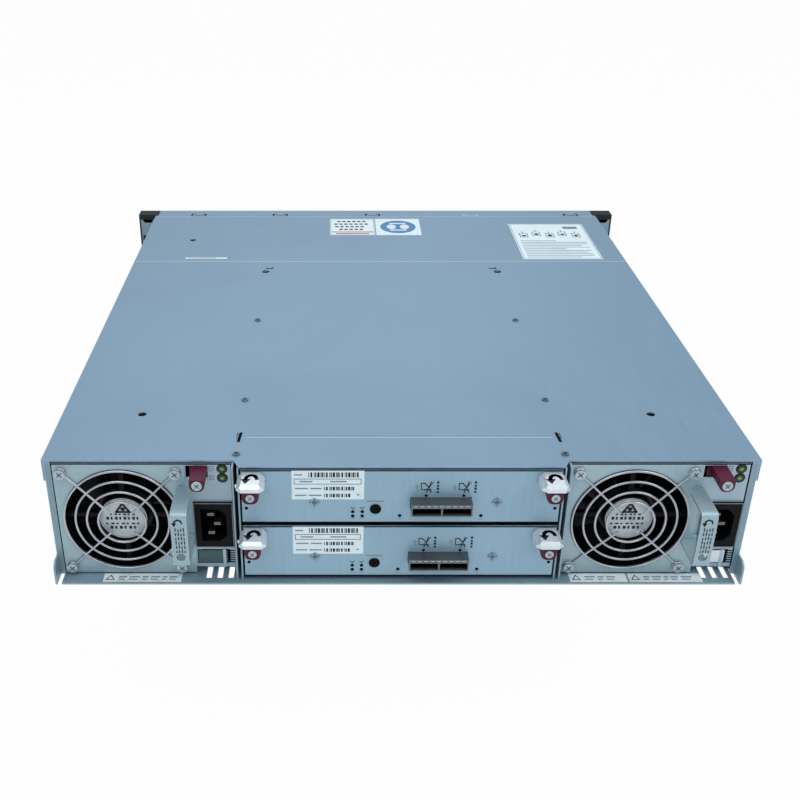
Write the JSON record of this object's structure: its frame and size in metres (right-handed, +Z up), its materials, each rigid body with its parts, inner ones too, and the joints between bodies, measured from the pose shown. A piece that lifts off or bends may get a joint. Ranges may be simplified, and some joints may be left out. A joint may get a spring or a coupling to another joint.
{
  "type": "disk shelf enclosure",
  "caption": "Rack-mount disk shelf seen from behind: slide-out power modules with wire-guarded fans, input/output modules with ejector levers, and front drive bays.",
  "frame": {"origin": "centre of the bounding box in X and Y, at the underside of the chassis", "axes": "+Z up; -Y is the drive-bay front; +Y is the rear with the modules; +X is on the left seen from the rear"},
  "size_m": [0.4826, 0.522, 0.0881],
  "materials": {
    "cover_steel": "satin",
    "chassis_steel": "satin",
    "module_steel": "satin",
    "cage_metal": "satin",
    "guard_wire": "polished",
    "screw_steel": "satin",
    "board_green": "satin",
    "connector_black": "satin",
    "cap_black": "matte",
    "blank_grey": "matte",
    "fan_black": "satin",
    "release_red": "satin",
    "disk_alloy": "satin",
    "pin_brass": "polished",
    "lens_green": "gloss"
  },
  "bodies": {
    "chassis": {"chassis_tub": "chassis_steel", "rear_cover": "cover_steel", "front_cover": "cover_steel", "cover_screws": "screw_steel", "bay_divider_left": "chassis_steel", "bay_divider_right": "chassis_steel", "io_shelf": "chassis_steel", "module_rail_left": "chassis_steel", "module_rail_right": "chassis_steel", "front_frame": "cover_steel", "drive_cage": "chassis_steel", "midplane_board": "board_green", "midplane_connectors": "connector_black", "rack_flange_left": "chassis_steel", "rack_flange_right": "chassis_steel", "ear_cap_left": "cap_black", "ear_cap_right": "cap_black", "drive_blanks": "blank_grey"},
    "power_module_1": {"psu_case_1": "module_steel", "psu_fan_frame_1": "fan_black", "psu_fan_guard_1": "guard_wire", "psu_guard_screws_1": "screw_steel", "psu_handle_1": "module_steel", "psu_inlet_1": "connector_black", "psu_inlet_pins_1": "pin_brass", "psu_status_lenses_1": "lens_green"},
    "fan_1": {"psu_fan_rotor_1": "fan_black"},
    "power_latch_1": {"psu_latch_1": "release_red"},
    "io_module_1": {"io_tray_1": "module_steel", "io_board_1": "board_green", "io_port_cage_1": "cage_metal"},
    "ejector_left_1": {"io_lever_left_1": "cage_metal"},
    "io_release_left_1": {"io_latch_left_1": "release_red"},
    "ejector_right_1": {"io_lever_right_1": "cage_metal"},
    "io_release_right_1": {"io_latch_right_1": "release_red"},
    "carrier_1": {"disk_carrier_1": "blank_grey", "disk_1": "disk_alloy"},
    "carrier_handle_1": {"carrier_lever_1": "blank_grey"},
    "carrier_release_1": {"carrier_button_1": "release_red"},
    "power_module_2": {"psu_case_2": "module_steel", "psu_fan_frame_2": "fan_black", "psu_fan_guard_2": "guard_wire", "psu_guard_screws_2": "screw_steel", "psu_handle_2": "module_steel", "psu_inlet_2": "connector_black", "psu_inlet_pins_2": "pin_brass", "psu_status_lenses_2": "lens_green"},
    "fan_2": {"psu_fan_rotor_2": "fan_black"},
    "power_latch_2": {"psu_latch_2": "release_red"},
    "io_module_2": {"io_tray_2": "module_steel", "io_board_2": "board_green", "io_port_cage_2": "cage_metal"},
    "ejector_left_2": {"io_lever_left_2": "cage_metal"},
    "io_release_left_2": {"io_latch_left_2": "release_red"},
    "ejector_right_2": {"io_lever_right_2": "cage_metal"},
    "io_release_right_2": {"io_latch_right_2": "release_red"},
    "carrier_2": {"disk_carrier_2": "blank_grey", "disk_2": "disk_alloy"},
    "carrier_handle_2": {"carrier_lever_2": "blank_grey"},
    "carrier_release_2": {"carrier_button_2": "release_red"}
  },
  "joints": [
    {"name": "power_module_1_slide", "type": "slide", "parent": "chassis", "child": "power_module_1", "axis": [0, 1, 0], "range_m": [0, 0.3]},
    {"name": "fan_1_spin", "type": "hinge", "parent": "power_module_1", "child": "fan_1", "pos_m": [0.1764, 0.213, 0.0432], "axis": [0, 1, 0], "continuous": true},
    {"name": "power_latch_1_slide", "type": "slide", "parent": "power_module_1", "child": "power_latch_1", "axis": [1, 0, 0], "range_m": [0, 0.004], "stiffness_N_per_m": 500, "springref_m": -0.002},
    {"name": "io_module_1_slide", "type": "slide", "parent": "chassis", "child": "io_module_1", "axis": [0, 1, 0], "range_m": [0, 0.3]},
    {"name": "ejector_left_1_hinge", "type": "hinge", "parent": "io_module_1", "child": "ejector_left_1", "pos_m": [0.0927, 0.2445, 0.0756], "axis": [-1, 0, 0], "range_deg": [0, 40]},
    {"name": "io_release_left_1_slide", "type": "slide", "parent": "ejector_left_1", "child": "io_release_left_1", "axis": [0, 0, 1], "range_m": [0, 0.0018], "stiffness_N_per_m": 800, "springref_m": -0.001},
    {"name": "ejector_right_1_hinge", "type": "hinge", "parent": "io_module_1", "child": "ejector_right_1", "pos_m": [-0.0927, 0.2445, 0.0756], "axis": [-1, 0, 0], "range_deg": [0, 40]},
    {"name": "io_release_right_1_slide", "type": "slide", "parent": "ejector_right_1", "child": "io_release_right_1", "axis": [0, 0, 1], "range_m": [0, 0.0018], "stiffness_N_per_m": 800, "springref_m": -0.001},
    {"name": "carrier_1_slide", "type": "slide", "parent": "chassis", "child": "carrier_1", "axis": [0, -1, 0], "range_m": [0, 0.12]},
    {"name": "carrier_handle_1_hinge", "type": "hinge", "parent": "carrier_1", "child": "carrier_handle_1", "pos_m": [-0.1575, -0.257, 0.01], "axis": [1, 0, 0], "range_deg": [0, 45]},
    {"name": "carrier_release_1_slide", "type": "slide", "parent": "carrier_1", "child": "carrier_release_1", "axis": [0, 1, 0], "range_m": [0, 0.0015], "stiffness_N_per_m": 800, "springref_m": -0.001},
    {"name": "power_module_2_slide", "type": "slide", "parent": "chassis", "child": "power_module_2", "axis": [0, 1, 0], "range_m": [0, 0.3]},
    {"name": "fan_2_spin", "type": "hinge", "parent": "power_module_2", "child": "fan_2", "pos_m": [-0.1468, 0.213, 0.0432], "axis": [0, 1, 0], "continuous": true},
    {"name": "power_latch_2_slide", "type": "slide", "parent": "power_module_2", "child": "power_latch_2", "axis": [1, 0, 0], "range_m": [0, 0.004], "stiffness_N_per_m": 500, "springref_m": -0.002},
    {"name": "io_module_2_slide", "type": "slide", "parent": "chassis", "child": "io_module_2", "axis": [0, 1, 0], "range_m": [0, 0.3]},
    {"name": "ejector_left_2_hinge", "type": "hinge", "parent": "io_module_2", "child": "ejector_left_2", "pos_m": [0.0927, 0.2445, 0.034], "axis": [-1, 0, 0], "range_deg": [0, 40]},
    {"name": "io_release_left_2_slide", "type": "slide", "parent": "ejector_left_2", "child": "io_release_left_2", "axis": [0, 0, 1], "range_m": [0, 0.0018], "stiffness_N_per_m": 800, "springref_m": -0.001},
    {"name": "ejector_right_2_hinge", "type": "hinge", "parent": "io_module_2", "child": "ejector_right_2", "pos_m": [-0.0927, 0.2445, 0.034], "axis": [-1, 0, 0], "range_deg": [0, 40]},
    {"name": "io_release_right_2_slide", "type": "slide", "parent": "ejector_right_2", "child": "io_release_right_2", "axis": [0, 0, 1], "range_m": [0, 0.0018], "stiffness_N_per_m": 800, "springref_m": -0.001},
    {"name": "carrier_2_slide", "type": "slide", "parent": "chassis", "child": "carrier_2", "axis": [0, -1, 0], "range_m": [0, 0.12]},
    {"name": "carrier_handle_2_hinge", "type": "hinge", "parent": "carrier_2", "child": "carrier_handle_2", "pos_m": [0, -0.257, 0.01], "axis": [1, 0, 0], "range_deg": [0, 45]},
    {"name": "carrier_release_2_slide", "type": "slide", "parent": "carrier_2", "child": "carrier_release_2", "axis": [0, 1, 0], "range_m": [0, 0.0015], "stiffness_N_per_m": 800, "springref_m": -0.001}
  ]
}
